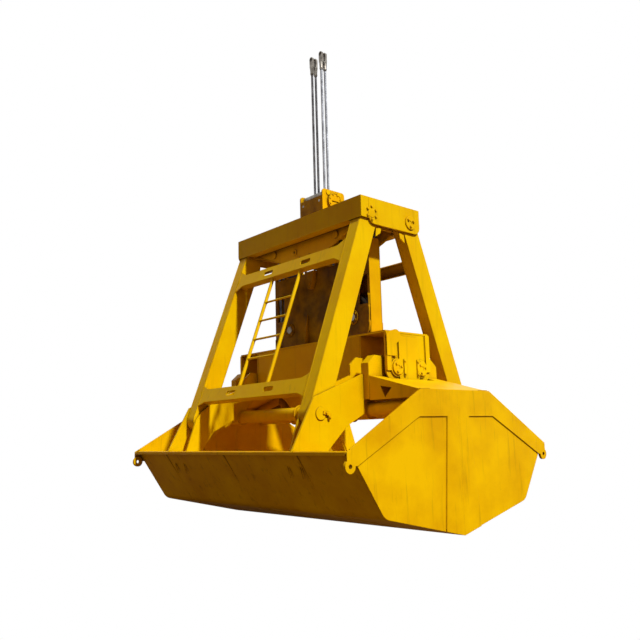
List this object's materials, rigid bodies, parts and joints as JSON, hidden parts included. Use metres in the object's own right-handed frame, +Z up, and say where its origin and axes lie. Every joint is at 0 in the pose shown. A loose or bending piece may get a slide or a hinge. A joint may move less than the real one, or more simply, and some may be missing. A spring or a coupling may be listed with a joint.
{
  "type": "clamshell grab",
  "caption": "Rope-operated clamshell grab: two hinged bulk shells, arms to a head with rope guide, and a lower beam that sheaves and closing ropes lift",
  "frame": {"origin": "centre of the four pin holes in the rope end sockets, which hold the grab up", "axes": "+Z up along the ropes, X the way the shells open, Y along the hinge pins"},
  "size_m": [3.2192, 4, 6.0999],
  "materials": {
    "paint": "gloss",
    "rope": "matte",
    "sheave": "matte",
    "steel": "satin"
  },
  "bodies": {
    "head": {"head_side_beam_left": "paint", "head_side_beam_right": "paint", "head_end_plate_near": "paint", "head_end_plate_far": "paint", "head_webs": "paint", "head_ribs": "paint", "arm_head_pins": "steel", "rope_guide": "paint", "upper_sheave_axles": "steel", "rope_anchors": "paint", "ropes_in_head": "rope", "closing_rope_falls": "rope", "rope_1": "rope", "rope_2": "rope", "rope_3": "rope", "rope_4": "rope", "rope_end_sockets": "steel"},
    "guide_roller_left": {"guide_roller_left": "steel"},
    "guide_roller_right": {"guide_roller_right": "steel"},
    "guide_roller_near": {"guide_roller_near": "steel"},
    "guide_roller_far": {"guide_roller_far": "steel"},
    "upper_sheave_near": {"upper_sheave_near": "sheave"},
    "upper_sheave_far": {"upper_sheave_far": "sheave"},
    "left_arms": {"arm_left_near": "paint", "arm_left_far": "paint", "crossbar_left_upper": "paint", "crossbar_left_lower": "paint", "ladder": "paint", "foot_pins_left": "steel"},
    "right_arms": {"arm_right_near": "paint", "arm_right_far": "paint", "crossbar_right_upper": "paint", "crossbar_right_lower": "paint", "foot_pins_right": "steel"},
    "lower_beam": {"lower_beam_sides": "paint", "lower_beam_end_near": "paint", "lower_beam_end_far": "paint", "lower_beam_top": "paint", "sheave_housing": "paint", "lower_sheave_axles": "steel", "closing_rope_lower_turns": "rope", "hinge_pins": "steel"},
    "lower_sheave_near_a": {"lower_sheave_near_a": "sheave"},
    "lower_sheave_near_b": {"lower_sheave_near_b": "sheave"},
    "lower_sheave_far_a": {"lower_sheave_far_a": "sheave"},
    "lower_sheave_far_b": {"lower_sheave_far_b": "sheave"},
    "left_shell": {"shell_left_floor": "paint", "shell_left_side_near": "paint", "shell_left_side_far": "paint", "shell_left_lip": "paint", "shell_left_lugs": "paint", "shell_left_tube": "paint", "shell_left_shoulders": "paint"},
    "right_shell": {"shell_right_floor": "paint", "shell_right_side_near": "paint", "shell_right_side_far": "paint", "shell_right_lip": "paint", "shell_right_lugs": "paint", "shell_right_tube": "paint", "shell_right_shoulders": "paint"}
  },
  "joints": [
    {"name": "beam_slide", "type": "slide", "parent": "head", "child": "lower_beam", "axis": [0, 0, -1], "range_m": [0, 0.8362], "deforming": ["closing_rope_falls"]},
    {"name": "left_shell_hinge", "type": "hinge", "parent": "lower_beam", "child": "left_shell", "pos_m": [-0.197, 0, -4.345], "axis": [0, 1, 0], "range_deg": [0, 46.1]},
    {"name": "left_arms_swing", "type": "hinge", "parent": "head", "child": "left_arms", "pos_m": [-0.325, 0, -2.577], "axis": [0, 1, 0], "range_deg": [0, 1.35]},
    {"name": "right_shell_hinge", "type": "hinge", "parent": "lower_beam", "child": "right_shell", "pos_m": [0.197, 0, -4.345], "axis": [0, -1, 0], "range_deg": [0, 46.1]},
    {"name": "right_arms_swing", "type": "hinge", "parent": "head", "child": "right_arms", "pos_m": [0.325, 0, -2.577], "axis": [0, -1, 0], "range_deg": [0, 1.35]},
    {"name": "upper_sheave_near_spin", "type": "hinge", "parent": "head", "child": "upper_sheave_near", "pos_m": [0, -0.6, -2.69], "axis": [-1, 0, 0], "range_deg": [0, 384]},
    {"name": "lower_sheave_near_a_spin", "type": "hinge", "parent": "lower_beam", "child": "lower_sheave_near_a", "pos_m": [-0.034, -0.6, -3.67], "axis": [-1, 0, 0], "range_deg": [0, 576]},
    {"name": "lower_sheave_near_b_spin", "type": "hinge", "parent": "lower_beam", "child": "lower_sheave_near_b", "pos_m": [0.034, -0.6, -3.67], "axis": [-1, 0, 0], "range_deg": [0, 193]},
    {"name": "upper_sheave_far_spin", "type": "hinge", "parent": "head", "child": "upper_sheave_far", "pos_m": [0, 0.6, -2.69], "axis": [1, 0, 0], "range_deg": [0, 384]},
    {"name": "lower_sheave_far_a_spin", "type": "hinge", "parent": "lower_beam", "child": "lower_sheave_far_a", "pos_m": [0.034, 0.6, -3.67], "axis": [1, 0, 0], "range_deg": [0, 576]},
    {"name": "lower_sheave_far_b_spin", "type": "hinge", "parent": "lower_beam", "child": "lower_sheave_far_b", "pos_m": [-0.034, 0.6, -3.67], "axis": [1, 0, 0], "range_deg": [0, 193]},
    {"name": "guide_roller_left_spin", "type": "hinge", "parent": "head", "child": "guide_roller_left", "pos_m": [-0.0933, 0, -2.0022], "axis": [0, 1, 0], "continuous": true},
    {"name": "guide_roller_right_spin", "type": "hinge", "parent": "head", "child": "guide_roller_right", "pos_m": [0.0933, 0, -2.0022], "axis": [0, 1, 0], "continuous": true},
    {"name": "guide_roller_near_spin", "type": "hinge", "parent": "head", "child": "guide_roller_near", "pos_m": [0, -0.1563, -2.1062], "axis": [1, 0, 0], "continuous": true},
    {"name": "guide_roller_far_spin", "type": "hinge", "parent": "head", "child": "guide_roller_far", "pos_m": [0, 0.1563, -2.1062], "axis": [1, 0, 0], "continuous": true}
  ],
  "couplings": [
    {"joint": "left_shell_hinge", "follows": "beam_slide", "rad_per_m": 0.96012},
    {"joint": "left_arms_swing", "follows": "beam_slide", "rad_per_m": 0.02784},
    {"joint": "right_shell_hinge", "follows": "beam_slide", "rad_per_m": 0.96012},
    {"joint": "right_arms_swing", "follows": "beam_slide", "rad_per_m": 0.02784},
    {"joint": "upper_sheave_near_spin", "follows": "beam_slide", "rad_per_m": 8},
    {"joint": "lower_sheave_near_a_spin", "follows": "beam_slide", "rad_per_m": 12},
    {"joint": "lower_sheave_near_b_spin", "follows": "beam_slide", "rad_per_m": 4},
    {"joint": "upper_sheave_far_spin", "follows": "beam_slide", "rad_per_m": 8},
    {"joint": "lower_sheave_far_a_spin", "follows": "beam_slide", "rad_per_m": 12},
    {"joint": "lower_sheave_far_b_spin", "follows": "beam_slide", "rad_per_m": 4}
  ]
}
